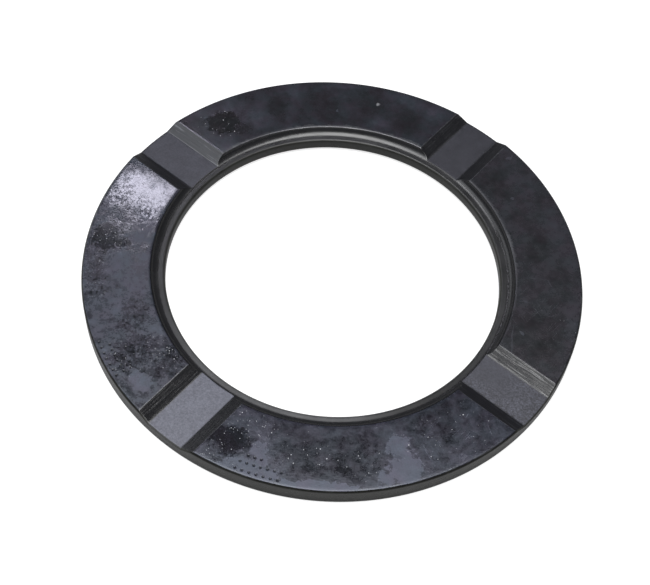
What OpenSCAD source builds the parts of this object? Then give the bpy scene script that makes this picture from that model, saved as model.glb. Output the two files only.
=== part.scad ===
// Flat adjusting washer with a hollow recess round the bore and four
// oil slots milled across its thrust face. Millimetres, thrust face up,
// resting on z = 0. The slots lie along X and Y.

/* [Ring] */
// Outside diameter
outer_d = 150; // [140:0.5:170]
// Bore diameter
bore_d = 101; // [90:0.5:105]
// Thickness over both faces
thick = 6.2; // [5:0.1:10]
// Edge break on the outer rim, top and bottom
rim_chamfer = 0.5; // [0.2:0.1:0.8]
// Edge break at the bottom of the bore
bore_chamfer = 1.0; // [0.2:0.1:1.2]

/* [Recess round the bore] */
// Depth of the recess below the thrust face
step_depth = 2.0; // [1.5:0.1:2.4]
// Width of the flat ledge, from the bore wall to the foot of the hollow
ledge_w = 1.8; // [1.2:0.1:2.5]
// Radius of the hollow that joins the ledge to the thrust face
cove_r = 2.5; // [2.5:0.1:3.5]
// Edge break at the top of the bore
ledge_chamfer = 0.5; // [0.2:0.1:0.6]

/* [Oil slots] */
// Width of a slot's floor
slot_floor_w = 12; // [6:0.5:14]
// Width of a slot at the thrust face
slot_top_w = 20; // [16:0.5:24]
// Depth of a slot below the thrust face
slot_depth = 1.9; // [1:0.1:2.4]
// How far the pair of slots along X misses the centre
slot_shift = -1.3; // [-2:0.1:2]

/* [Hidden] */
$fn = 180;

outer_r = outer_d / 2;
bore_r = bore_d / 2;
ledge_z = thick - step_depth;
foot_r = bore_r + ledge_w;
slot_z = thick - slot_depth;
slot_len = outer_d + 20;
// the slot cutter stands this far above the thrust face, walls kept in line
over = 3;
wall_run = (slot_top_w - slot_floor_w) / 2 / slot_depth;
slot_over_w = slot_top_w + 2 * over * wall_run;

// half section of the turned ring, without the hollow
module ring_section() {
  polygon([
    [bore_r + bore_chamfer, 0],
    [outer_r - rim_chamfer, 0],
    [outer_r, rim_chamfer],
    [outer_r, thick - rim_chamfer],
    [outer_r - rim_chamfer, thick],
    [foot_r, thick],
    [foot_r, ledge_z],
    [bore_r + ledge_chamfer, ledge_z],
    [bore_r, ledge_z - ledge_chamfer],
    [bore_r, bore_chamfer]
  ]);
}

// turned ring: flat ledge, then a hollow that sweeps up to the thrust face
module turned_ring() {
  rotate_extrude()
    difference() {
      ring_section();
      translate([foot_r, ledge_z + cove_r]) circle(r = cove_r);
    }
}

// one milling pass right across the ring, along X
module slot_pass() {
  rotate([90, 0, 90])
    linear_extrude(height = slot_len, center = true)
      polygon([
        [-slot_floor_w / 2, slot_z],
        [slot_floor_w / 2, slot_z],
        [slot_over_w / 2, thick + over],
        [-slot_over_w / 2, thick + over]
      ]);
}

module washer() {
  color([0.16, 0.16, 0.17])
    difference() {
      turned_ring();
      translate([0, slot_shift, 0]) slot_pass();
      rotate([0, 0, 90]) slot_pass();
    }
}

washer();
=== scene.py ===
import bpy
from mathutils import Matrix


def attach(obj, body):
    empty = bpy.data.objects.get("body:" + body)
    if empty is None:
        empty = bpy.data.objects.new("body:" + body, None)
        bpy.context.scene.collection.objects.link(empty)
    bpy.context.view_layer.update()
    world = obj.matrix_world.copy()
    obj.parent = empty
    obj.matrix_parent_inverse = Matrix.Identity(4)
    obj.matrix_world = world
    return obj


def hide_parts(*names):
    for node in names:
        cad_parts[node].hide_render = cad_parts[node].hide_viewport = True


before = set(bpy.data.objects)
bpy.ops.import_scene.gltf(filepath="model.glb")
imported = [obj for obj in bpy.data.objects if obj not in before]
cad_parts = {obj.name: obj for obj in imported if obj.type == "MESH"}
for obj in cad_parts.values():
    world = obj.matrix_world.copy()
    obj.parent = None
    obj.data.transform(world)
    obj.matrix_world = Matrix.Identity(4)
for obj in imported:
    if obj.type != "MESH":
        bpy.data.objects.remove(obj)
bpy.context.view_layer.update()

import math

import bpy
import numpy as np
from mathutils import Matrix, Vector

# ------------------------------------------------------------------ sizes, mm
R_OUT, R_BORE, THICK = 75.0, 50.5, 6.2
RIM_C, BORE_C, LEDGE_C = 0.5, 1.0, 0.5
LEDGE_Z, FOOT_R, COVE_R = 4.2, 52.3, 2.5
SLOT_Z, SLOT_F, SLOT_T, SLOT_SHIFT = 4.3, 6.0, 10.0, -1.3
FACE_R = FOOT_R + math.sqrt(COVE_R ** 2 - (COVE_R - (THICK - LEDGE_Z)) ** 2)
# azimuth of the part's +X in the view's own axes (x right, y away)
TURN = math.radians(54.74)

# The ring's regions, which are also its material slots; the face has one for each land
FACE_TOP, FACE_LEFT, FACE_BOTTOM, FACE_RIGHT, SLOT_FLOOR, SLOT_WALL, RECESS, RIM, BORE, UNDER = range(10)
FACE = FACE_TOP


# ------------------------------------------------------------------ geometry
def lerp(a, b, n, first=True, ease=False):
    """n+1 values from a to b, without the first if asked."""
    t = np.linspace(0.0, 1.0, n + 1)
    if ease:
        t = 0.5 - 0.5 * np.cos(np.pi * t)
    v = a + (b - a) * t
    return list(v if first else v[1:])


def section():
    """The ring's half section as a closed loop: (r, z, region of the band that follows)."""
    rows = []

    def line(p, q, n, region, ease=False):
        for r, z in zip(lerp(p[0], q[0], n, ease=ease)[:-1], lerp(p[1], q[1], n, ease=ease)[:-1]):
            rows.append([r, z, region])

    e = 0.07  # softening of the turned edges
    line((R_BORE + BORE_C + e, 0.0), (R_BORE + BORE_C - e, e), 1, BORE)
    line((R_BORE + BORE_C - e, e), (R_BORE + e, BORE_C - e), 1, BORE)
    line((R_BORE + e, BORE_C - e), (R_BORE, BORE_C + e), 1, BORE)
    f = 0.035
    line((R_BORE, BORE_C + e), (R_BORE, LEDGE_Z - LEDGE_C - f), 3, BORE)
    line((R_BORE, LEDGE_Z - LEDGE_C - f), (R_BORE + f, LEDGE_Z - LEDGE_C + f), 1, BORE)
    line((R_BORE + f, LEDGE_Z - LEDGE_C + f), (R_BORE + LEDGE_C - f, LEDGE_Z - f), 1, BORE)
    line((R_BORE + LEDGE_C - f, LEDGE_Z - f), (R_BORE + LEDGE_C + f, LEDGE_Z), 1, RECESS)
    line((R_BORE + LEDGE_C + f, LEDGE_Z), (FOOT_R, LEDGE_Z), 3, RECESS)
    top = math.asin((COVE_R - (THICK - LEDGE_Z)) / COVE_R)
    # a row lies where the slots' floor comes out of the sweep
    n, floor_at = 16, math.acos(1 - (SLOT_Z - LEDGE_Z) / COVE_R)
    for turn in lerp(0.0, floor_at, 4)[:-1] + lerp(floor_at, math.pi / 2 - top, n)[:-1]:
        a = -math.pi / 2 + turn
        rows.append([FOOT_R + COVE_R * math.cos(a), LEDGE_Z + COVE_R + COVE_R * math.sin(a), RECESS])
    # the worn roll of the face's inner edge
    roll = [(FACE_R - 0.01, THICK - 0.30), (FACE_R + 0.05, THICK - 0.16), (FACE_R + 0.16, THICK - 0.075),
            (FACE_R + 0.32, THICK - 0.030), (FACE_R + 0.52, THICK - 0.007), (FACE_R + 0.75, THICK)]
    for k, (r, z) in enumerate(roll[:-1]):
        rows.append([r, z, RECESS if k < 1 else FACE])
    line(roll[-1], (R_OUT - RIM_C - 0.35, THICK), 30, FACE)
    edge = [(R_OUT - RIM_C - 0.35, THICK), (R_OUT - RIM_C - 0.1, THICK - 0.015), (R_OUT - RIM_C + 0.06, THICK - 0.09),
            (R_OUT - 0.09, THICK - RIM_C + 0.06), (R_OUT - 0.015, THICK - RIM_C - 0.1), (R_OUT, THICK - RIM_C - 0.3)]
    for k, (r, z) in enumerate(edge[:-1]):
        rows.append([r, z, FACE if k < 2 else RIM])
    line(edge[-1], (R_OUT, RIM_C + e), 6, RIM)
    line((R_OUT, RIM_C + e), (R_OUT - e, RIM_C - e), 1, RIM)
    line((R_OUT - e, RIM_C - e), (R_OUT - RIM_C + e, e), 1, RIM)
    line((R_OUT - RIM_C + e, e), (R_OUT - RIM_C - e, 0.0), 1, RIM)
    line((R_OUT - RIM_C - e, 0.0), (R_BORE + BORE_C + e, 0.0), 8, UNDER)
    return rows


def slot_height(t):
    """Height of the milled slot at distance t from its middle, with its corners slightly rounded."""
    t = np.abs(t)
    z = SLOT_Z + np.maximum(t - SLOT_F, 0.0) * (THICK - SLOT_Z) / (SLOT_T - SLOT_F)
    # small fillet at the floor's edge
    w = 0.22
    slope = (THICK - SLOT_Z) / (SLOT_T - SLOT_F)
    k = np.clip((t - SLOT_F + w) / (2 * w), 0, 1)
    return np.where(np.abs(t - SLOT_F) < w, SLOT_Z + slope * w * k * k, z)


def soft_min(a, b, w):
    """The lower of two heights, with the corner between them rounded over about w."""
    h = np.clip(0.5 + 0.5 * (b - a) / w, 0.0, 1.0)
    return b * (1 - h) + a * h - w * h * (1 - h)


def slot_lines():
    """Distances from a slot's middle that get a column of points of their own."""
    half = [0.0, 1.5, 3.0, 4.5, 5.4, 5.78, 5.93, 6.07, 6.22, 6.6, 7.3, 8.0, 8.7, 9.3, 9.65, 9.85, 10.0, 10.15, 10.4]
    return sorted([-v for v in half[1:]] + half)


SLOTS = [(0.0, SLOT_SHIFT), (90.0, 0.0), (180.0, -SLOT_SHIFT), (270.0, 0.0)]  # direction, offset to its left


def build_ring():
    rows = section()
    lines = slot_lines()
    lands = 96
    radii = np.array([r[0] for r in rows])
    # how far from its middle a slot's top edge lies at each row: less on the hollow sweep, and ramped back over the ledge
    heights = np.array([r[1] for r in rows])
    reach = np.full(len(rows), SLOT_T)
    sweep = [i for i, r in enumerate(rows) if r[0] >= FOOT_R and heights[i] >= LEDGE_Z and r[2] in (RECESS, FACE)]
    for i in sweep:
        reach[i] = SLOT_F + max(0.25, (min(heights[i], THICK) - SLOT_Z) * (SLOT_T - SLOT_F) / (THICK - SLOT_Z))
    ledge_rows = [i for i, r in enumerate(rows) if r[2] == RECESS and r[0] < FOOT_R]
    for k, i in enumerate(ledge_rows):
        reach[i] = SLOT_T + (SLOT_F + 0.25 - SLOT_T) * k / len(ledge_rows)

    def line_at(t):
        """Distance from the slot's middle of one column, row by row."""
        d = abs(t)
        if d <= SLOT_F:
            out = np.full(len(rows), d)
        elif d <= SLOT_T:
            out = SLOT_F + (d - SLOT_F) * (reach - SLOT_F) / (SLOT_T - SLOT_F)
        else:
            out = reach + (d - SLOT_T)
        return math.copysign(1.0, t) * out

    # angles of all columns, one row of them per radius
    cols, kinds, spread = [], [], []
    for k, (az, off) in enumerate(SLOTS):
        for t in lines:
            cols.append(math.radians(az) + np.arcsin((off + line_at(t)) / radii))
            kinds.append(("slot", k, t))
            spread.append(line_at(t))
        az2, off2 = SLOTS[(k + 1) % 4]
        a = math.radians(az) + np.arcsin((off + line_at(lines[-1])) / radii)
        b = math.radians(az2 + (360 if k == 3 else 0)) + np.arcsin((off2 + line_at(lines[0])) / radii)
        for j in range(1, lands):
            cols.append(a + (b - a) * j / lands)
            kinds.append(("land", k, 20.0))
            spread.append(np.full(len(rows), 20.0))
    ang = np.array(cols)                       # columns x rows
    ncol, nrow = ang.shape
    T = np.stack(spread)
    rr = np.broadcast_to(radii, ang.shape).copy()
    zz = np.broadcast_to(np.array([r[1] for r in rows]), ang.shape).copy()
    # what lies above the slots' own height is milled away, and the rim below it is
    # closed up evenly so that no faces fold together
    zs = slot_height(T)
    region = np.array([r[2] for r in rows])
    upper = np.isin(region, (FACE, RECESS))
    rim_rows = [i for i in range(nrow) if region[i] == RIM and radii[i] > R_OUT - RIM_C]
    cut = soft_min(zz, zs, 0.08)
    take = upper[None, :] & (T < 19) & (zz > zs - 0.12)
    zz = np.where(take, cut, zz)
    # the two rows of the edge break and the wall's own rows
    for j in range(ncol):
        if kinds[j][0] == "land":
            continue
        h = float(slot_height(kinds[j][2]))
        full = [rows[i][1] for i in rim_rows]
        lo = full[-3]  # start of the lower edge break
        n = 0
        top = full[0]
        edge_top = min(h, THICK)
        if edge_top > THICK - 0.005:
            continue
        for n, i in enumerate(rim_rows):
            z0 = full[n]
            if z0 <= lo:
                continue
            # the wall's heights are squeezed below the slot, and the edge break follows down with it
            f = (z0 - lo) / (top - lo)
            zz[j, i] = lo + f * (min(edge_top - 0.02, top) - lo)
        for i in rim_rows:
            if rows[i][1] > THICK - RIM_C - 0.35:
                # little edge break at the slot's mouth
                drop = THICK - rows[i][1]
                rr[j, i] = R_OUT - max(0.0, (R_OUT - rows[i][0]) * 0.5) if drop > 0.3 else rr[j, i]
    x = rr * np.cos(ang)
    y = rr * np.sin(ang)
    verts = np.stack([x, y, zz], -1).reshape(-1, 3) / 1000.0
    idx = np.arange(ncol * nrow).reshape(ncol, nrow)
    nxt = np.roll(idx, -1, axis=0)
    up = np.roll(idx, -1, axis=1)
    nup = np.roll(nxt, -1, axis=1)
    faces = np.stack([idx, up, nup, nxt], -1).reshape(-1, 4)  # wound so that they face outwards
    # a band's region, and the slot's own regions where it was milled
    reg = np.broadcast_to(region, (ncol, nrow)).copy()
    tmid = np.array([0.5 * (kinds[j][2] + kinds[(j + 1) % ncol][2]) if kinds[j][0] == "slot" and kinds[(j + 1) % ncol][0] == "slot" else 20.0 for j in range(ncol)])
    zrow = np.array([0.5 * (rows[i][1] + rows[(i + 1) % nrow][1]) for i in range(nrow)])[None, :]
    milled = (np.abs(tmid)[:, None] < SLOT_T) & upper[None, :] & (zrow > SLOT_Z)
    reg = np.where(milled & (np.abs(tmid)[:, None] < SLOT_F), SLOT_FLOOR, reg)
    reg = np.where(milled & (np.abs(tmid)[:, None] >= SLOT_F), SLOT_WALL, reg)
    # each land of the face has a finish of its own
    land = np.array([k if kind == "land" or t > 0 else (k - 1) % 4 for kind, k, t in kinds])[:, None]
    reg = np.where(reg == FACE, land, reg)
    me = bpy.data.meshes.new("washer_detail")
    me.from_pydata(verts.tolist(), [], faces.tolist())
    me.polygons.foreach_set("material_index", reg.reshape(-1).astype(np.int32))
    me.polygons.foreach_set("use_smooth", np.ones(len(faces), dtype=bool))
    me.update()
    me.validate()
    return me


ring_mesh = build_ring()
ring = bpy.data.objects.new("washer_ring", ring_mesh)
bpy.context.scene.collection.objects.link(ring)
# smooth shading breaks where two machined surfaces meet
ring_mesh.set_sharp_from_angle(angle=math.radians(28))


# ------------------------------------------------------------------ materials
class Graph:
    """A small helper that builds a procedural material; numbers stay on their sockets."""

    def __init__(self, name):
        self.m = bpy.data.materials.new(name)
        self.m.use_nodes = True
        self.t = self.m.node_tree
        self.bsdf = self.t.nodes["Principled BSDF"]
        self.obj = self.node("ShaderNodeTexCoord").outputs["Object"]
        # millimetres in the part's axes, and in the view's own axes
        self.part = self.mapping(self.obj, (0, 0, 0), 0.0, (1000, 1000, 1000), "POINT")
        self.view = self.mapping(self.obj, (0, 0, 0), TURN, (1000, 1000, 1000), "POINT")
        self.x, self.y, self.z = self.split(self.view)
        self.px, self.py, _ = self.split(self.part)
        self.r = self.math("SQRT", self.math("ADD", self.math("MULTIPLY", self.x, self.x), self.math("MULTIPLY", self.y, self.y)))
        self.az = self.math("MULTIPLY", self.math("ARCTAN2", self.y, self.x), 180 / math.pi)

    def node(self, kind, **props):
        n = self.t.nodes.new(kind)
        for k, v in props.items():
            setattr(n, k, v)
        return n

    def put(self, socket, v):
        if isinstance(v, bpy.types.NodeSocket):
            self.t.links.new(v, socket)
        elif isinstance(v, (tuple, list)) and len(v) == 3 and socket.type == "RGBA":
            socket.default_value = (*v, 1)
        else:
            socket.default_value = v

    def math(self, op, a, b=None, c=None, clamp=False):
        n = self.node("ShaderNodeMath", operation=op, use_clamp=clamp)
        for s, v in zip(n.inputs, (a, b, c)):
            if v is not None:
                self.put(s, v)
        return n.outputs[0]

    def add(self, *v):
        out = v[0]
        for w in v[1:]:
            out = self.math("ADD", out, w)
        return out

    def mul(self, *v):
        out = v[0]
        for w in v[1:]:
            out = self.math("MULTIPLY", out, w)
        return out

    def sub(self, a, b):
        return self.math("SUBTRACT", a, b)

    def clamp(self, a):
        return self.math("ADD", a, 0.0, clamp=True)

    def vec(self, x, y, z=0.0):
        n = self.node("ShaderNodeCombineXYZ")
        for s, v in zip(n.inputs, (x, y, z)):
            self.put(s, v)
        return n.outputs[0]

    def split(self, v):
        n = self.node("ShaderNodeSeparateXYZ")
        self.put(n.inputs[0], v)
        return n.outputs

    def vadd(self, a, b):
        n = self.node("ShaderNodeVectorMath", operation="ADD")
        self.put(n.inputs[0], a)
        self.put(n.inputs[1], b)
        return n.outputs[0]

    def length(self, v):
        n = self.node("ShaderNodeVectorMath", operation="LENGTH")
        self.put(n.inputs[0], v)
        return n.outputs["Value"]

    def mapping(self, v, loc, turn, size, kind="TEXTURE"):
        n = self.node("ShaderNodeMapping", vector_type=kind)
        self.put(n.inputs["Vector"], v)
        if "Location" in n.inputs:
            n.inputs["Location"].default_value = loc
        n.inputs["Rotation"].default_value = (0, 0, turn)
        n.inputs["Scale"].default_value = size
        return n.outputs[0]

    def ramp(self, v, lo, hi, a=0.0, b=1.0, smooth=True):
        n = self.node("ShaderNodeMapRange", interpolation_type="SMOOTHSTEP" if smooth else "LINEAR", clamp=True)
        self.put(n.inputs["Value"], v)
        n.inputs["From Min"].default_value = lo
        n.inputs["From Max"].default_value = hi
        n.inputs["To Min"].default_value = a
        n.inputs["To Max"].default_value = b
        return n.outputs["Result"]

    def noise(self, v, size, detail=2.0, rough=0.5, colour=False, twist=0.0):
        """Noise whose features are about size mm; 0..1 around 0.5."""
        n = self.node("ShaderNodeTexNoise", noise_dimensions="3D")
        self.put(n.inputs["Vector"], v)
        n.inputs["Scale"].default_value = 1.0 / size
        n.inputs["Detail"].default_value = detail
        n.inputs["Roughness"].default_value = rough
        n.inputs["Distortion"].default_value = twist
        return n.outputs["Color" if colour else "Fac"]

    def cells(self, v, size, out="Distance", random=1.0, feature="F1"):
        n = self.node("ShaderNodeTexVoronoi", voronoi_dimensions="3D", feature=feature)
        self.put(n.inputs["Vector"], v)
        n.inputs["Scale"].default_value = 1.0 / size
        n.inputs["Randomness"].default_value = random
        return n.outputs[out]

    def shifted(self, v, noise, amount):
        """v moved by a colour noise, amount mm either way at the most."""
        n = self.node("ShaderNodeVectorMath", operation="MULTIPLY_ADD")
        self.put(n.inputs[0], noise)
        n.inputs[1].default_value = (2 * amount, 2 * amount, 0)
        self.put(n.inputs[2], self.vadd(v, (-amount, -amount, 0)))
        return n.outputs[0]

    def blobs(self, v, spots, soft=0.25, rough=None):
        """1 inside any of the ellipses (x, y, half length, half width, turn in degrees), 0 outside."""
        out = None
        for x, y, a, b, turn in spots:
            d = self.length(self.mapping(v, (x, y, 0), math.radians(turn), (a, b, 1e6)))
            out = d if out is None else self.math("MINIMUM", out, d)
        if rough is not None:
            out = self.add(out, rough)
        return self.ramp(out, 1 + soft, 1 - soft)

    def mix(self, f, a, b, kind="RGBA"):
        n = self.node("ShaderNodeMix", data_type=kind)
        n.clamp_factor = True
        self.put(n.inputs[0], f)
        if kind == "RGBA":
            self.put(n.inputs[6], a)
            self.put(n.inputs[7], b)
            return n.outputs[2]
        self.put(n.inputs[2], a)
        self.put(n.inputs[3], b)
        return n.outputs[0]

    def fmix(self, f, a, b):
        return self.mix(f, a, b, "FLOAT")

    def tones(self, v, stops):
        n = self.node("ShaderNodeValToRGB")
        self.put(n.inputs[0], v)
        r = n.color_ramp
        while len(r.elements) < len(stops):
            r.elements.new(0.5)
        for e, (p, c) in zip(r.elements, stops):
            e.position = p
            e.color = (*c, 1)
        return n.outputs[0]

    def finish(self, colour, rough, height=None, reach=0.001, strength=1.0):
        self.put(self.bsdf.inputs["Base Color"], colour)
        self.put(self.bsdf.inputs["Roughness"], rough)
        if height is not None:
            n = self.node("ShaderNodeBump")
            n.inputs["Strength"].default_value = strength
            n.inputs["Distance"].default_value = reach
            self.put(n.inputs["Height"], height)
            self.t.links.new(n.outputs[0], self.bsdf.inputs["Normal"])
        return self.m

    def slot_edge(self):
        """Distance in mm from the nearest top edge of a slot, and the same from its floor's edges."""
        a = self.math("ABSOLUTE", self.px)
        b = self.math("ABSOLUTE", self.add(self.py, -SLOT_SHIFT))
        top = self.math("MINIMUM", self.math("ABSOLUTE", self.add(a, -SLOT_T)), self.math("ABSOLUTE", self.add(b, -SLOT_T)))
        low = self.math("MINIMUM", self.math("ABSOLUTE", self.add(a, -SLOT_F)), self.math("ABSOLUTE", self.add(b, -SLOT_F)))
        return top, low

    def across_along(self):
        """Coordinates across and along whichever slot a point lies in."""
        a = self.math("ABSOLUTE", self.px)
        b = self.math("ABSOLUTE", self.add(self.py, -SLOT_SHIFT))
        in_x = self.math("GREATER_THAN", a, b)
        across = self.fmix(in_x, self.px, self.add(self.py, 37.0))
        along = self.fmix(in_x, self.py, self.px)
        return across, along, in_x


def at(az, r, a, b, tilt=0.0):
    """A spot given by azimuth and radius, a long and b wide, lying along the ring unless tilted."""
    t = math.radians(az)
    return (r * math.cos(t), r * math.sin(t), a, b, az + 90.0 + tilt)


def face_material(name, base, light_tone, grey_tone, dim_tone, cloudy, busy, gritty, light=(), grey=(), wet=(), dim=(), fine=(), glint_drops=(), sheen=(), core=(),
                  lumpy=(), crumbs=(), scratched=(), cuts=(), rows=(), pale_rows=(), glint_spots=(), pits=(), peel=0.012, crumb_depth=0.2, streaky=0.15,
                  edge_lightening=0.28, gloss=(0.24, 0.40, 0.1, 0.7), wet_rough=0.16, wet_tone=0.05, lump_height=0.026, dense=(), inner_edge_highlight=None,
                  hue=(1.0, 1.0, 1.0), glint=(0.86, 0.92, 1.0)):
    """One land of the thrust face. Tone runs from 0, black with oil, to 1, dry and grey; spots are ellipses in the view's axes (mm)."""
    g = Graph(name)
    v = g.view
    big = g.noise(v, 11.0, 3, 0.55, colour=True)
    mid = g.noise(v, 2.4, 4, 0.65, colour=True)
    p = g.shifted(g.shifted(v, big, 2.4), mid, 2.0)
    soft_p = g.shifted(g.shifted(v, big, 3.0), mid, 1.6)
    cloud = g.add(g.ramp(g.noise(v, 5.5, 5, 0.62), 0.34, 0.66, smooth=False), -0.5)
    mottle = g.add(g.ramp(g.noise(v, 1.9, 4, 0.65), 0.34, 0.66, smooth=False), -0.5)
    grain = g.add(g.ramp(g.noise(v, 0.55, 2, 0.6), 0.32, 0.68, smooth=False), -0.5)
    crumble = g.mul(g.add(g.noise(g.vadd(v, (17, 5, 0)), 1.9, 4, 0.65), -0.5), 1.8)

    tone = base
    if grey:
        tone = g.fmix(g.mul(g.blobs(soft_p, grey, 0.5), 0.85), tone, grey_tone)
    if dim:
        tone = g.fmix(g.mul(g.blobs(soft_p, dim, 0.5, g.mul(crumble, 0.5)), 0.85), tone, dim_tone)
    tone = g.add(tone, g.mul(cloud, cloudy), g.mul(mottle, busy))
    if light:
        dry_and_lit = g.blobs(p, light, 0.16, crumble)
        tone = g.fmix(dry_and_lit, tone, g.add(light_tone, g.mul(cloud, 0.12), g.mul(mottle, 0.07)))
    if wet:
        soaked = g.blobs(p, wet, 0.24, crumble)
        tone = g.fmix(g.mul(soaked, 0.92), tone, g.add(wet_tone, g.mul(mottle, 0.12), g.mul(cloud, 0.06)))
    tone = g.add(tone, g.mul(grain, gritty))
    # dark crumbs of dirt in the oil
    if crumbs:
        crumb_zone = g.blobs(soft_p, crumbs, 0.5)
        crumb = g.mul(g.ramp(g.noise(g.vadd(v, (3, 29, 0)), 0.75, 3, 0.65), 0.50, 0.62), crumb_zone)
        tone = g.add(tone, g.mul(crumb, -crumb_depth), g.mul(crumb_zone, 0.3 * crumb_depth))
    if pits:
        pit = g.mul(g.ramp(g.add(g.cells(g.vadd(v, (5, 0, 0)), 2.3), g.mul(crumble, 0.12)), 0.30, 0.14),
                    g.ramp(g.noise(g.vadd(v, (0, 31, 0)), 3.2, 1, 0.5), 0.46, 0.52), g.blobs(v, pits, 0.2))
        tone = g.add(tone, g.mul(pit, -0.28))

    peel_n = g.noise(v, 1.25, 3, 0.5)
    calm = g.blobs(soft_p, core, 0.7) if core else 0.0
    height = g.add(g.mul(grain, g.fmix(g.math("MAXIMUM", g.blobs(soft_p, sheen, 0.45), soaked), 0.004, 0.0008) if sheen else 0.004), g.mul(g.add(peel_n, -0.5), g.fmix(calm, g.fmix(soaked, peel, 0.12 * peel), 0.3 * peel) if core else peel))
    if lumpy:
        lump_zone = g.blobs(p, lumpy, 0.4)
        lump = g.ramp(g.noise(v, 0.66, 3, 0.6), 0.60, 0.72)
        height = g.add(height, g.mul(lump, g.mul(lump_zone, lump_height)))
    # hairline scratches, and a few deeper ones
    streaks = 0.0
    for turn, gate_size, lo, hi, wide in ((0.95, 8.0, 0.54, 0.64, 0.20), (2.2, 9.0, 0.57, 0.67, 0.18), (0.35, 7.0, 0.58, 0.68, 0.16)):
        line_p = g.mapping(g.shifted(v, mid, 0.5), (3 * turn, -5 * turn, 0), turn, (8.0, wide, 1.0))
        line = g.ramp(g.noise(line_p, 1.0, 1, 0.4), 0.66, 0.74)
        one = g.mul(line, g.ramp(g.noise(g.vadd(v, (11 * turn, 0, 0)), gate_size, 1, 0.5), lo, hi))
        streaks = g.math("MAXIMUM", streaks, one)
    if scratched:
        streaks = g.mul(streaks, g.fmix(g.blobs(soft_p, scratched, 0.4), streaky, 0.75))
    else:
        streaks = g.mul(streaks, streaky)
    if cuts:
        streaks = g.math("MAXIMUM", streaks, g.mul(g.blobs(g.shifted(v, mid, 0.35), cuts, 0.5), 0.45))
    tone = g.add(tone, g.mul(streaks, 0.32))
    height = g.add(height, g.mul(streaks, -0.008))
    # plain rows of punched dots: radius, first and last azimuth, pitch in degrees
    for kind, some in (("dark", rows), ("pale", pale_rows)):
        if not some:
            continue
        dots = 0.0
        for radius, a0, a1, pitch in some:
            u = g.math("FRACT", g.mul(g.add(g.az, -a0), 1.0 / pitch))
            du = g.mul(g.add(u, -0.5), pitch * math.pi / 180 * radius)
            dv = g.add(g.r, -radius)
            d = g.math("SQRT", g.add(g.mul(du, du), g.mul(dv, dv)))
            inside = g.mul(g.math("GREATER_THAN", g.az, a0), g.math("LESS_THAN", g.az, a1))
            dots = g.math("MAXIMUM", dots, g.mul(g.ramp(d, 0.52, 0.26), inside))
        if kind == "dark":
            tone = g.fmix(g.mul(dots, 0.85), tone, 0.04)
            height = g.add(height, g.mul(dots, -0.10))
        else:
            tone = g.add(tone, g.mul(dots, g.ramp(peel_n, 0.46, 0.60), 0.26))
    # bare, rubbed edges, and a painted highlight on the inner edge
    top, _ = g.slot_edge()
    wear_n = g.noise(v, 2.2, 3, 0.6)
    outer = g.mul(g.ramp(g.add(g.r, g.mul(wear_n, 0.9)), R_OUT - RIM_C + 0.02, R_OUT - RIM_C + 0.35), g.ramp(g.noise(v, 6.0, 2, 0.6), 0.50, 0.60))
    corner = g.ramp(g.add(top, g.mul(wear_n, 0.8)), 0.62, 0.40)
    lighter_edges = g.math("MAXIMUM", g.mul(outer, 0.8), corner)
    if inner_edge_highlight is not None:
        # a broken, uneven light band painted on the inner edge of the far and the right side, where the rolled edge
        # faces the lights: a painted highlight
        inner = g.ramp(g.add(g.r, g.mul(wear_n, -2.2)), FACE_R + 0.15, FACE_R - 0.45)
        gate = g.mul(g.ramp(g.y, inner_edge_highlight[0], inner_edge_highlight[1]), g.ramp(g.noise(g.vadd(v, (0, 3, 0)), 9.0, 2, 0.6), 0.40, 0.56, 0.25, 1.0))
        lighter_edges = g.math("MAXIMUM", lighter_edges, g.mul(inner, gate))
    tone = g.clamp(g.add(tone, g.mul(lighter_edges, 0.35 * edge_lightening)))

    colour = g.tones(tone, [(at_tone, (r_ * hue[0], g_ * hue[1], b_ * hue[2])) for at_tone, (r_, g_, b_) in (
        (0.0, (0.0064, 0.0065, 0.0072)), (0.2, (0.0150, 0.0156, 0.0202)), (0.4, (0.0258, 0.0274, 0.0382)),
        (0.6, (0.0425, 0.0460, 0.0640)), (0.8, (0.070, 0.076, 0.101)), (1.0, (0.110, 0.117, 0.150)),
    )])
    # faint drift between a teal and a violet cast
    cast = g.mix(g.ramp(g.noise(g.vadd(v, (60, 0, 0)), 6.0, 3, 0.6), 0.36, 0.64), (0.90, 1.02, 1.02), (1.06, 0.97, 1.04))
    n = g.node("ShaderNodeMix", data_type="RGBA", blend_type="MULTIPLY")
    n.inputs[0].default_value = 1.0
    g.put(n.inputs[6], colour)
    g.put(n.inputs[7], cast)
    colour = g.mix(g.mul(lighter_edges, 2.0 * edge_lightening), n.outputs[2], (0.066, 0.068, 0.072))
    rough = g.add(g.ramp(tone, gloss[2], gloss[3], gloss[0], gloss[1], smooth=False), g.mul(mottle, 0.04), g.mul(cloud, 0.03))
    if wet:
        rough = g.fmix(g.mul(soaked, 0.95), rough, wet_rough)
    # the rolled inner edge is duller
    rough = g.fmix(g.mul(g.ramp(g.r, FACE_R + 0.8, FACE_R + 0.35), g.ramp(g.noise(g.vadd(v, (0, 0, 3)), 5.0, 3, 0.6), 0.42, 0.58, 0.15, 1.0)), rough, 0.34)
    if sheen:
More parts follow.
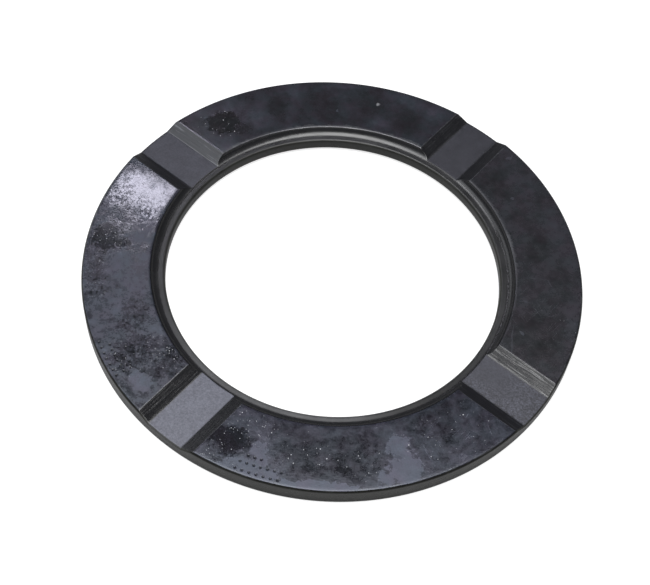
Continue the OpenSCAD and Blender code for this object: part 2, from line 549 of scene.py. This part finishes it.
        # smooth under a thin film of oil, except where dirt lies on it; the film is also painted a little lighter, a
        # painted highlight where the window's glare falls
        net = g.ramp(g.add(g.cells(g.shifted(v, mid, 0.9), 1.05), g.mul(grain, 0.16)), 0.40, 0.62)
        strokes = g.mul(net, g.ramp(g.noise(g.vadd(v, (0, 0, 4)), 1.3, 2, 0.6), 0.40, 0.54))
        rubbed = g.mul(g.sub(1.0, g.mul(strokes, g.fmix(calm, 0.80, 0.12))), g.ramp(g.noise(g.vadd(v, (0, 0, 8)), 4.0, 4, 0.65), 0.30, 0.52, 0.72, 1.0))
        bare_film_and_highlight = g.mul(g.blobs(soft_p, sheen, 0.45, g.mul(crumble, 0.5)), rubbed, g.ramp(tone, 0.06, 0.26))
        colour = g.mix(g.mul(bare_film_and_highlight, 0.4), colour, (0.050, 0.050, 0.056))
        rough = g.fmix(bare_film_and_highlight, rough, g.add(0.105, g.mul(mottle, 0.03)))
    # painted glints: light specks of a dense fine kind and a sparse coarse kind of uneven size
    sparkle = 0.0
    if fine:
        zone = g.blobs(soft_p, fine, 0.4)
        sparkle = g.mul(g.ramp(g.cells(v, 0.80), 0.25, 0.12), g.ramp(g.noise(v, 1.0, 1, 0.5), 0.50, 0.56), zone, 0.30)
    if glint_drops:
        zone = g.blobs(soft_p, glint_drops, 0.3)
        gate = g.noise(v, 1.7, 1, 0.5)
        if dense:
            gate = g.add(gate, g.mul(g.blobs(soft_p, dense, 0.4), 0.14))
        near, chance = g.cells(v, 1.05), g.split(g.cells(v, 1.05, "Color"))[0]
        d = g.mul(g.add(near, g.mul(g.add(peel_n, -0.5), 0.4)), g.ramp(chance, 0.0, 1.0, 1.9, 0.75, smooth=False))
        one = g.mul(g.ramp(d, 0.13, 0.06), g.ramp(gate, 0.455, 0.52), zone)
        sparkle = g.math("MAXIMUM", sparkle, one)
    if glint_spots:
        sparkle = g.math("MAXIMUM", sparkle, g.mul(g.blobs(g.shifted(v, mid, 0.9), glint_spots, 0.6, g.mul(crumble, 0.8)), 0.26))
    # the specks are painted highlights: a pale colour with low roughness and a small bump
    if fine or glint_drops or glint_spots:
        colour = g.mix(sparkle, colour, (0.64, 0.65, 0.68))
        rough = g.fmix(sparkle, rough, 0.12)
        height = g.add(height, g.mul(sparkle, 0.06))
    g.put(g.bsdf.inputs["Specular Tint"], glint)
    return g.finish(colour, rough, height)


def face_top():
    return face_material(
        "washer_face_top", 0.265, 0.5, 0.42, 0.17, 0.13, 0.06, 0.05,
        # four of these small light spots, at the left end of this land, are painted glints
        light=[at(130.9, 69.6, 0.9, 0.5), at(128.3, 69.8, 0.6, 0.5), at(126.6, 61.9, 0.5, 0.5), at(124.3, 61.4, 0.7, 0.4), at(93.6, 62.4, 0.45, 0.6)],
        grey=[at(132.6, 58.0, 5.6, 3.8, -35), at(129.5, 71.5, 4.0, 2.6), at(122.5, 70.5, 3.8, 4.2), at(117.0, 62, 4.4, 5.0), at(104.5, 70.5, 2.2, 4.0), at(79, 59.3, 2.6, 1.8),
              at(74, 71.8, 7.0, 2.6), at(66, 71, 3.0, 3.5), at(92, 72.8, 6, 1.4)],
        wet=[at(127.2, 65.2, 5.3, 4.0, -20)],
        dim=[at(110.5, 64, 2.8, 6.0), at(97, 63.5, 5.0, 6.5), at(84, 67, 4.0, 6.5), at(72, 62, 4.8, 4.5), at(123.5, 59.8, 4.0, 2.2, -30)],
        glint_drops=[at(127.5, 66.0, 7.5, 6.0, -20)], dense=[at(130, 68, 5, 5), at(126.5, 62, 4, 2.5)],
        lumpy=[at(128, 66.5, 6.5, 5.0, -20)], crumbs=[at(126, 65, 8, 6)], crumb_depth=0.10,
        glint_spots=[at(81.7, 66.8, 0.42, 0.6)],
        peel=0.006, gloss=(0.11, 0.16, 0.1, 0.5), wet_rough=0.09, inner_edge_highlight=(0, 5), hue=(1.03, 0.97, 0.88), glint=(0.97, 0.96, 1.0))


def face_left():
    return face_material(
        "washer_face_left", 0.335, 0.60, 0.425, 0.20, 0.22, 0.26, 0.17,
        light=[at(222.3, 69.2, 4.0, 2.6, 20)],
        grey=[at(202.5, 70.6, 8.5, 2.4), at(200, 66.5, 5.0, 2.0), at(189, 61.5, 10.5, 4.4), at(183.8, 66.6, 3.0, 2.2), at(174, 60.0, 4.8, 3.2), at(195.5, 57, 6, 1.6),
              at(212, 60.2, 3.0, 2.6), at(212.5, 56.6, 5, 1.2), at(205, 72.5, 10, 1.2)],
        wet=[at(177.6, 69.2, 6.2, 4.8), at(179.0, 64.3, 2.6, 2.6)],
        dim=[at(187, 70.5, 5.0, 2.6), at(193, 65.5, 3.0, 1.6), at(208, 63.8, 5.8, 2.8, 15), at(201.5, 59.8, 4.0, 3.6), at(191.5, 71.2, 6.8, 2.0), at(192.5, 67.8, 3.4, 1.9), at(217.5, 59.5, 6.2, 4.2),
             at(221.5, 65.3, 3.6, 1.5, 35), at(214.5, 68.3, 4.6, 3.4), at(181.5, 59.5, 2.6, 2.6), at(172, 65.5, 4.0, 4.0), at(169.5, 70.5, 2.6, 3.0)],
        fine=[at(217.5, 59.5, 6.8, 4.6), at(214.5, 69, 6.5, 5.0), at(190, 70, 9, 3.5), at(178, 68, 7.5, 6.5)],
        glint_drops=[at(217.5, 59.0, 6.5, 4.4), at(176.5, 68, 6.5, 5.5)], dense=[at(177.5, 69, 6.0, 5.0)],
        sheen=[at(161.0, 66.5, 8.2, 9.2), at(163.6, 59.2, 8.2, 4.6), at(166.0, 71.6, 3.6, 3.4), at(157.5, 60.0, 4.6, 6.0)], core=[at(159.0, 63, 6.0, 10)],
        lumpy=[at(177.5, 68.5, 7.5, 5.5), at(170.3, 66, 4.2, 8.0)],
        pits=[at(163.5, 64, 7.5, 9), at(175, 59, 3.5, 2.5)],
        crumbs=[at(205, 62.5, 10, 6), at(191, 70, 9, 4), at(214, 67, 7, 7), at(181, 60, 4, 4), at(168.5, 65, 6, 10), at(199, 60, 6, 5)], crumb_depth=0.20,
        rows=[(73.3, -152.5, -141.0, 1.6), (70.9, -151.0, -141.4, 1.6)], peel=0.016, gloss=(0.14, 0.32, 0.06, 0.45), wet_rough=0.08, wet_tone=0.05, glint=(0.93, 0.95, 1.0))


def face_bottom():
    return face_material(
        "washer_face_bottom", 0.265, 0.58, 0.37, 0.165, 0.14, 0.14, 0.10,
        light=[at(256.1, 65.6, 2.7, 2.6), at(256, 71.7, 8.0, 2.7), at(271.0, 73.4, 12, 1.5), at(290.8, 69.8, 4.5, 5.2), at(291.0, 63.6, 3.4, 2.8), at(285.8, 71.6, 2.2, 2.2), at(258.0, 68.4, 1.8, 2.0)],
        grey=[at(260.2, 66.2, 6.5, 2.7, -50), at(250.0, 59.2, 4.6, 3.0), at(292.5, 60.2, 3.8, 2.2), at(296, 70.5, 3.4, 3.6), at(303, 72.6, 7.0, 1.6), at(254.5, 69.0, 3.0, 1.4)],
        wet=[at(248.8, 66.3, 5.4, 3.6), at(276.2, 68.6, 1.7, 0.8)],
        dim=[at(273, 64.5, 12.5, 6.0), at(276.5, 67.5, 3.6, 3.0), at(285.0, 66.0, 3.2, 3.2), at(303.5, 64.0, 3.0, 2.0), at(280, 59, 4.0, 2.0), at(303, 57.4, 11, 2.4), at(308.5, 59, 6, 2.6)],
        glint_drops=[at(249, 67, 6.5, 7.5), at(252.5, 59.5, 7, 3.5), at(273, 65, 15, 8), at(303, 66, 12, 8)], dense=[at(247.3, 71.6, 3.4, 3.4), at(252, 60, 5.5, 2.6)],
        fine=[at(254, 60.5, 8, 4.5), at(247.5, 71.5, 3.5, 4)],
        scratched=[at(304, 66, 14, 9)],
        crumbs=[at(262, 70, 5, 4), at(285, 66, 4, 8), at(299, 66, 6, 9), at(250, 66, 5, 5)], crumb_depth=0.08,
        cuts=[(27.6, -61.5, 4.2, 0.18, -52), (30.4, -60.6, 2.2, 0.14, -56), (47.3, -51, 2.0, 0.12, -70), (41, -47.5, 1.0, 0.12, 60), (37, -53, 1.4, 0.12, 20)],
        rows=[(73.3, -107.8, -96.4, 1.58), (70.9, -107.4, -96.2, 1.58), (68.6, -106.2, -101.6, 1.58)], peel=0.012, streaky=0.16,
        gloss=(0.13, 0.32, 0.08, 0.6), wet_rough=0.10, wet_tone=0.05, hue=(1.02, 0.97, 1.0), glint=(0.85, 0.90, 1.0))


def face_right():
    return face_material(
        "washer_face_right", 0.205, 0.40, 0.28, 0.11, 0.10, 0.05, 0.04,
        grey=[at(15, 70.5, 12, 3.5), at(-9, 72.2, 9, 2.4), at(34, 68.5, 6, 3)],
        dim=[at(-18, 64, 8, 6.5), at(11, 62, 5, 3.5), at(38, 60, 6, 4)],
        glint_drops=[at(-13, 70.5, 5, 4)],
        scratched=[at(-8, 62, 12, 8)],
        cuts=[at(0.3, 65.1, 1.5, 0.16, 25), at(1.6, 60.3, 0.7, 0.25, 80), (57, -7, 1.2, 0.12, 5), at(-22.5, 58, 3.0, 0.2, 20), at(-19, 56.8, 2.4, 0.16, 10)],
        light=[at(30.5, 61.8, 0.3, 0.5), at(28.6, 70.6, 0.3, 0.3), at(42.4, 71, 0.4, 1.0), at(-6.8, 57.5, 0.3, 0.5), at(-18.2, 59.8, 0.4, 0.6)],
        pale_rows=[(73.6, -17.6, -9.6, 1.6), (71.2, -17.0, -9.0, 1.6), (68.6, -17.0, -12.0, 1.6)],
        peel=0.008, streaky=0.12, inner_edge_highlight=(-4, 20), hue=(1.02, 0.95, 0.87), glint=(0.97, 0.96, 1.0))


def slot_floor_material():
    g = Graph("washer_slot_floor")
    v = g.view
    grain = g.add(g.ramp(g.noise(v, 0.50, 3, 0.65), 0.32, 0.68, smooth=False), -0.5)
    cloud = g.noise(v, 4.5, 4, 0.6)
    big = g.noise(v, 9.0, 2, 0.5, colour=True)
    p = g.shifted(v, big, 2.0)
    # the floors are painted lighter towards the near left, most in the lower left slot, less in the lower right and the
    # upper left: painted light from the near left, partly a drier finish
    dry_and_lit = g.blobs(p, [(-36, -52, 20, 16, 55)], 0.25)
    half_dry_and_lit = g.blobs(p, [(50, -35, 18, 14, -35)], 0.25)
    left = g.blobs(p, [(-50, 35, 18, 14, -35)], 0.25)
    tone = g.add(0.20, g.mul(dry_and_lit, 0.46), g.mul(half_dry_and_lit, 0.135), g.mul(left, 0.11))
    gritty = g.blobs(p, [(62, -41, 10, 9, -35), (50, -42, 12, 4, -35)], 0.5)
    tone = g.add(tone, g.mul(g.add(cloud, -0.5), 0.24), g.mul(grain, g.add(0.07, g.mul(dry_and_lit, 0.19), g.mul(half_dry_and_lit, 0.08), g.mul(gritty, 0.40), g.mul(left, 0.06))))
    speck = g.mul(g.ramp(g.cells(v, 0.85), 0.28, 0.12), g.ramp(g.noise(v, 1.6, 1, 0.5), 0.50, 0.58), g.math("MAXIMUM", g.mul(dry_and_lit, 0.6), gritty))
    tone = g.add(tone, g.mul(speck, 0.22))
    # darker along the floor's edges where it meets the walls: painted shade in the corners
    _, low = g.slot_edge()
    tone = g.add(tone, g.mul(g.ramp(low, 0.5, 0.1), -0.12))
    across, along, _ = g.across_along()
    mill = g.noise(g.vec(g.mul(across, 1.0), g.mul(along, 0.03), 0.0), 0.35, 2, 0.5)
    tone = g.clamp(g.add(tone, g.mul(g.add(mill, -0.5), 0.07)))
    colour = g.tones(tone, [
        (0.0, (0.010, 0.010, 0.0125)), (0.25, (0.022, 0.022, 0.0305)), (0.55, (0.060, 0.062, 0.082)), (0.9, (0.150, 0.155, 0.194)), (1.0, (0.19, 0.195, 0.24)),
    ])
    rough = g.add(0.44, g.mul(g.add(cloud, -0.5), 0.16), g.mul(grain, 0.04))
    height = g.add(g.mul(grain, 0.006), g.mul(g.add(mill, -0.5), 0.006))
    return g.finish(colour, rough, height)


def slot_wall_material():
    g = Graph("washer_slot_wall")
    v = g.view
    across, along, _ = g.across_along()
    wave = g.noise(g.vec(0.0, g.mul(along, 1.0), 3.0), 9.0, 2, 0.5)
    t = g.add(across, g.mul(g.add(wave, -0.5), 0.5))
    lines = g.noise(g.vec(t, g.mul(along, 0.02), 0.0), 0.60, 3, 0.7)
    fine = g.noise(g.vec(t, g.mul(along, 0.05), 7.0), 0.22, 1, 0.5)
    patch = g.noise(v, 3.0, 4, 0.6)
    grain = g.noise(v, 0.4, 2, 0.6)
    bright = g.mul(g.ramp(lines, 0.53, 0.62), g.ramp(patch, 0.32, 0.60))
    top, low = g.slot_edge()
    lighter_edges = g.mul(g.ramp(g.add(g.math("MINIMUM", top, low), g.mul(patch, 0.45)), 0.46, 0.26), 0.8)
    rubbed = g.mul(g.blobs(v, [(-48.5, 44.0, 17, 4.5, 144.7)], 0.3), 0.41)
    oily = g.blobs(v, [(-44.0, -48.4, 17, 4.5, 234.7), (-31.0, -57.7, 17, 4.5, 234.7)], 0.3)
    side = g.blobs(v, [(58.0, -30.5, 17, 4.5, -35.3)], 0.3)
    ridge = g.ramp(g.noise(g.vec(g.add(across, g.mul(g.add(wave, -0.5), 0.2)), g.mul(along, 0.018), 11.0), 0.36, 2, 0.6), 0.53, 0.62)
    facing = g.mul(side, g.math("MAXIMUM", g.mul(ridge, g.ramp(patch, 0.36, 0.62)), g.ramp(low, 0.35, 0.12)))
    tone = g.clamp(g.add(0.10, rubbed, g.mul(oily, -0.05), g.mul(side, -0.05), g.mul(facing, 0.30), g.mul(bright, g.add(0.24, g.mul(oily, -0.14), g.mul(side, -0.22))), g.mul(g.add(patch, -0.5), 0.14), g.mul(g.add(grain, -0.5), 0.08), g.mul(lighter_edges, 0.25)))
    colour = g.tones(tone, [(0.0, (0.0045, 0.0045, 0.0055)), (0.2, (0.0095, 0.0095, 0.0115)), (0.55, (0.030, 0.031, 0.036)), (1.0, (0.14, 0.148, 0.165))])
    rough = g.add(0.32, g.mul(oily, -0.06), g.mul(side, -0.11), g.mul(g.add(patch, -0.5), 0.16), g.mul(bright, 0.04))
    height = g.add(g.mul(g.add(lines, -0.5), g.add(0.17, g.mul(oily, -0.08), g.mul(side, -0.14))), g.mul(ridge, side, g.ramp(patch, 0.30, 0.50), 0.018), g.mul(g.add(fine, -0.5), 0.016), g.mul(g.add(grain, -0.5), 0.010))
    g.put(g.bsdf.inputs["Specular IOR Level"], g.fmix(side, 0.5, g.fmix(g.mul(ridge, g.ramp(patch, 0.30, 0.50)), 0.28, 0.60)))
    return g.finish(colour, rough, height)


def turned_material(name, stops, rough0, level, by_z=False, line_h=0.006):
    """Lathe-turned surface: fine rings, a few coarser ones and thin oil."""
    g = Graph(name)
    v = g.view
    q = g.z if by_z else g.r
    slow = g.mul(g.az, 0.012)
    rings = g.noise(g.vec(q, slow, 0.0), 0.16, 2, 0.6)
    bands = g.noise(g.vec(q, slow, 5.0), 0.7, 2, 0.5)
    cloud = g.noise(v, 6.0, 4, 0.6)
    grain = g.noise(v, 0.5, 2, 0.6)
    tone = g.add(level, g.mul(g.add(rings, -0.5), 0.16), g.mul(g.add(bands, -0.5), 0.22), g.mul(g.add(cloud, -0.5), 0.30), g.mul(g.add(grain, -0.5), 0.08))
    return g, dict(rings=rings, bands=bands, cloud=cloud, grain=grain, tone=tone, stops=stops, rough0=rough0, line_h=line_h)


def turned_finish(g, k, tone=None):
    tone = g.clamp(k["tone"] if tone is None else tone)
    colour = g.tones(tone, k["stops"])
    rough = g.add(k["rough0"], g.mul(g.add(k["cloud"], -0.5), 0.18), g.mul(g.add(k["rings"], -0.5), 0.08))
    height = g.add(g.mul(g.add(k["rings"], -0.5), k["line_h"]), g.mul(g.add(k["bands"], -0.5), k["line_h"] * 2.0), g.mul(g.add(k["grain"], -0.5), 0.004))
    return g.finish(colour, rough, height)


DARK_STEEL = [(0.0, (0.0055, 0.0055, 0.006)), (0.3, (0.013, 0.013, 0.014)), (0.6, (0.035, 0.035, 0.037)), (1.0, (0.13, 0.13, 0.135))]
OLIVE_STEEL = [(0.0, (0.0075, 0.0075, 0.006)), (0.3, (0.019, 0.019, 0.0165)), (0.6, (0.045, 0.045, 0.041)), (1.0, (0.15, 0.15, 0.145))]


def recess_material():
    g, k = turned_material("washer_recess", DARK_STEEL, 0.27, 0.26, line_h=0.003)
    ledge = g.ramp(g.r, FOOT_R + 0.35, FOOT_R - 0.15)
    edge_in = g.ramp(g.r, R_BORE + 0.62, R_BORE + 0.35)
    lip = g.ramp(g.r, FACE_R - 0.45, FACE_R - 0.20)
    # the ledge is painted lighter on the near side, and its inner edge with it: painted light; it is also lighter at
    # the far side, the left and the lower right, and darker at two other azimuths
    def around(azimuth, lo, hi=1.0):
        return g.ramp(g.math("COSINE", g.mul(g.add(g.az, -azimuth), math.pi / 180)), lo, hi)

    front = around(-109.0, 0.47, 0.94)
    dry_and_lit = g.add(g.fmix(front, 0.04, 0.40), g.mul(around(92.0, 0.92), 0.11), g.mul(around(174.0, 0.90), 0.13), g.mul(around(-20.0, 0.93), 0.18), g.mul(around(-57.0, 0.93), -0.12), g.mul(around(134.0, 0.95), -0.10), g.mul(around(-90.0, 0.95), 0.05))
    # a light line painted at the foot of the sweep on the right: a painted highlight
    foot_highlight = g.mul(g.ramp(g.r, FOOT_R + 0.10, FOOT_R + 0.40), g.ramp(g.r, FOOT_R + 1.05, FOOT_R + 0.60), g.add(g.mul(around(38.0, 0.94), 0.42), g.mul(around(25.0, 0.90), 0.14)))
    tone = g.add(k["tone"], g.mul(ledge, dry_and_lit), g.mul(edge_in, front, 0.10), g.mul(lip, 0.03), foot_highlight)
    k["rough0"] = g.fmix(edge_in, g.fmix(ledge, g.fmix(around(80.0, 0.80, 0.97), 0.26, 0.315), g.fmix(front, 0.31, 0.44)), 0.50)
    g.put(g.bsdf.inputs["Specular IOR Level"], g.ramp(g.y, -5.0, 50.0, 0.41, 0.65))
    return turned_finish(g, k, tone)


def rim_material():
    g, k = turned_material("washer_rim", OLIVE_STEEL, 0.28, 0.36, by_z=True, line_h=0.008)
    wear = g.noise(g.view, 2.5, 4, 0.65)
    brk = g.ramp(g.z, THICK - RIM_C - 0.08, THICK - RIM_C + 0.10)
    edge = g.mul(g.ramp(g.add(g.z, g.mul(wear, 0.7)), THICK - RIM_C + 0.50, THICK - RIM_C + 0.72), g.ramp(g.noise(g.view, 7.0, 2, 0.6), 0.50, 0.60))
    low = g.ramp(g.add(g.z, g.mul(wear, -0.5)), 0.28, 0.05)
    nick = g.mul(g.ramp(g.noise(g.vadd(g.view, (0, 0, 9)), 1.2, 1, 0.5), 0.66, 0.72), 0.16)
    # the rim is painted darker towards its bottom, a painted shade from the floor beneath it; the edge break at the top
    # is painted darker too, a painted shade line
    tone = g.add(k["tone"], g.mul(brk, -0.35), g.mul(edge, 0.40), g.mul(low, 0.03), g.ramp(g.z, 2.4, 0.9, 0.0, -0.28), g.ramp(g.z, 0.0, 5.0, -0.05, 0.06, smooth=False), nick)
    return turned_finish(g, k, tone)


def bore_material():
    g, k = turned_material("washer_bore", OLIVE_STEEL, 0.30, 0.28, by_z=True, line_h=0.007)
    return turned_finish(g, k)


def under_material():
    g, k = turned_material("washer_under", DARK_STEEL, 0.36, 0.34, line_h=0.006)
    v = g.view
    p = g.shifted(v, g.noise(v, 9.0, 3, 0.55, colour=True), 5.0)
    stain = g.ramp(g.noise(p, 13.0, 3, 0.55), 0.47, 0.56)
    rub = g.ramp(g.noise(g.vadd(v, (40, 7, 0)), 16.0, 3, 0.6), 0.52, 0.62)
    line_p = g.mapping(v, (0, 0, 0), 0.7, (9.0, 0.15, 1.0))
    marks = g.mul(g.ramp(g.noise(line_p, 1.0, 1, 0.4), 0.70, 0.76), rub)
    tone = g.add(k["tone"], g.mul(stain, -0.18), g.mul(rub, 0.12), g.mul(marks, 0.2))
    return turned_finish(g, k, tone)


for make in (face_top, face_left, face_bottom, face_right, slot_floor_material, slot_wall_material, recess_material, rim_material, bore_material, under_material):
    ring_mesh.materials.append(make())

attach(ring, "root")
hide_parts("washer")

# ------------------------------------------------------------------ camera
S = R_OUT / 1000.0


def from_view(x, y, z):
    """A point in the view's own axes (metres, x right, y away) in the part's axes."""
    c, s = math.cos(TURN), math.sin(TURN)
    return Vector((x * c + y * s, -x * s + y * c, z))


EL, ROLL, DIST, F_PX = 0.957458, -0.08663, 5.25953, 1297.33
eye = Vector((0, -math.cos(EL), math.sin(EL))) * DIST * S
aim = Vector((-0.02508, -0.0820, 0)) * S
back = (eye - aim).normalized()
right = Vector((0, 0, 1)).cross(back).normalized()
upv = back.cross(right)
c, s = math.cos(ROLL), math.sin(ROLL)
right, upv = c * right - s * upv, s * right + c * upv
cam_data = bpy.data.cameras.new("camera")
cam_data.sensor_fit = "HORIZONTAL"
cam_data.sensor_width = 36.0
cam_data.lens = F_PX * 36.0 / 650.0
cam_data.clip_start, cam_data.clip_end = 0.01, 20.0
cam = bpy.data.objects.new("camera", cam_data)
bpy.context.scene.collection.objects.link(cam)
m3 = Matrix([from_view(*right), from_view(*upv), from_view(*back)]).transposed()
cam.matrix_world = Matrix.Translation(from_view(*eye)) @ m3.to_4x4()
bpy.context.scene.camera = cam

# ------------------------------------------------------------------ floor and light
floor_mesh = bpy.data.meshes.new("floor")
e = 4.0
floor_mesh.from_pydata([(-e, -e, 0), (e, -e, 0), (e, e, 0), (-e, e, 0)], [], [(0, 1, 2, 3)])
floor = bpy.data.objects.new("floor", floor_mesh)
floor.location = (0, 0, -0.00002)
bpy.context.scene.collection.objects.link(floor)


def floor_material():
    """A pale matt floor that is exposed to white."""
    m = bpy.data.materials.new("floor_white")
    m.use_nodes = True
    t = m.node_tree
    b = t.nodes["Principled BSDF"]
    b.inputs["Base Color"].default_value = (0.4, 0.4, 0.4, 1)
    b.inputs["Roughness"].default_value = 0.9
    b.inputs["Specular IOR Level"].default_value = 0.0
    b.inputs["Emission Color"].default_value = (1, 1, 1, 1)
    path = t.nodes.new("ShaderNodeLightPath")
    mul = t.nodes.new("ShaderNodeMath")
    mul.operation = "MULTIPLY"
    mul.inputs[1].default_value = 0.75
    t.links.new(path.outputs["Is Camera Ray"], mul.inputs[0])
    t.links.new(mul.outputs[0], b.inputs["Emission Strength"])
    return m


floor_mesh.materials.append(floor_material())


def soft_box(name, azimuth, elevation, distance, size, radiance, colour=(1, 1, 1), lean=0.0):
    """A soft area light in a direction of the view's own axes, aimed at the part; size is across and in height, lean turns it clockwise."""
    az, el = math.radians(azimuth), math.radians(elevation)
    d = bpy.data.lights.new(name, "AREA")
    d.shape = "RECTANGLE"
    d.size, d.size_y = size
    d.energy = radiance * math.pi * size[0] * size[1]
    d.color = colour
    o = bpy.data.objects.new(name, d)
    out = from_view(math.cos(el) * math.cos(az), math.cos(el) * math.sin(az), math.sin(el))
    side = from_view(-math.sin(az), math.cos(az), 0.0)
    c, s, up = math.cos(math.radians(lean)), math.sin(math.radians(lean)), out.cross(side)
    o.matrix_world = Matrix.Translation(distance * out) @ Matrix([c * side - s * up, s * side + c * up, out]).transposed().to_4x4()
    bpy.context.scene.collection.objects.link(o)
    return o


soft_box("overhead", 272.0, 85.5, 1.1, (0.585, 1.00), 7.95)
soft_box("left", 180.0, 60.0, 1.3, (0.95, 0.75), 1.8, (0.92, 0.95, 1.0))
soft_box("side", 143.0, 32.5, 1.3, (0.74, 0.48), 1.8, (0.94, 0.96, 1.0))
soft_box("window", 107.3, 50.25, 1.3, (0.104, 0.064), 22.0, (0.90, 0.87, 1.0), 35.0)


def studio_world():
    """Dim surroundings; pale where the camera sees past the floor."""
    world = bpy.data.worlds.new("studio")
    bpy.context.scene.world = world
    world.use_nodes = True
    t = world.node_tree
    bg = t.nodes["Background"]
    path = t.nodes.new("ShaderNodeLightPath")
    mix = t.nodes.new("ShaderNodeMix")
    mix.data_type = "RGBA"
    mix.inputs["A"].default_value = (0.09, 0.095, 0.105, 1)
    mix.inputs["B"].default_value = (1, 1, 1, 1)
    t.links.new(path.outputs["Is Camera Ray"], mix.inputs["Factor"])
    t.links.new(mix.outputs["Result"], bg.inputs["Color"])
    bg.inputs["Strength"].default_value = 1.0


studio_world()
bpy.context.scene.view_settings.view_transform = "Standard"
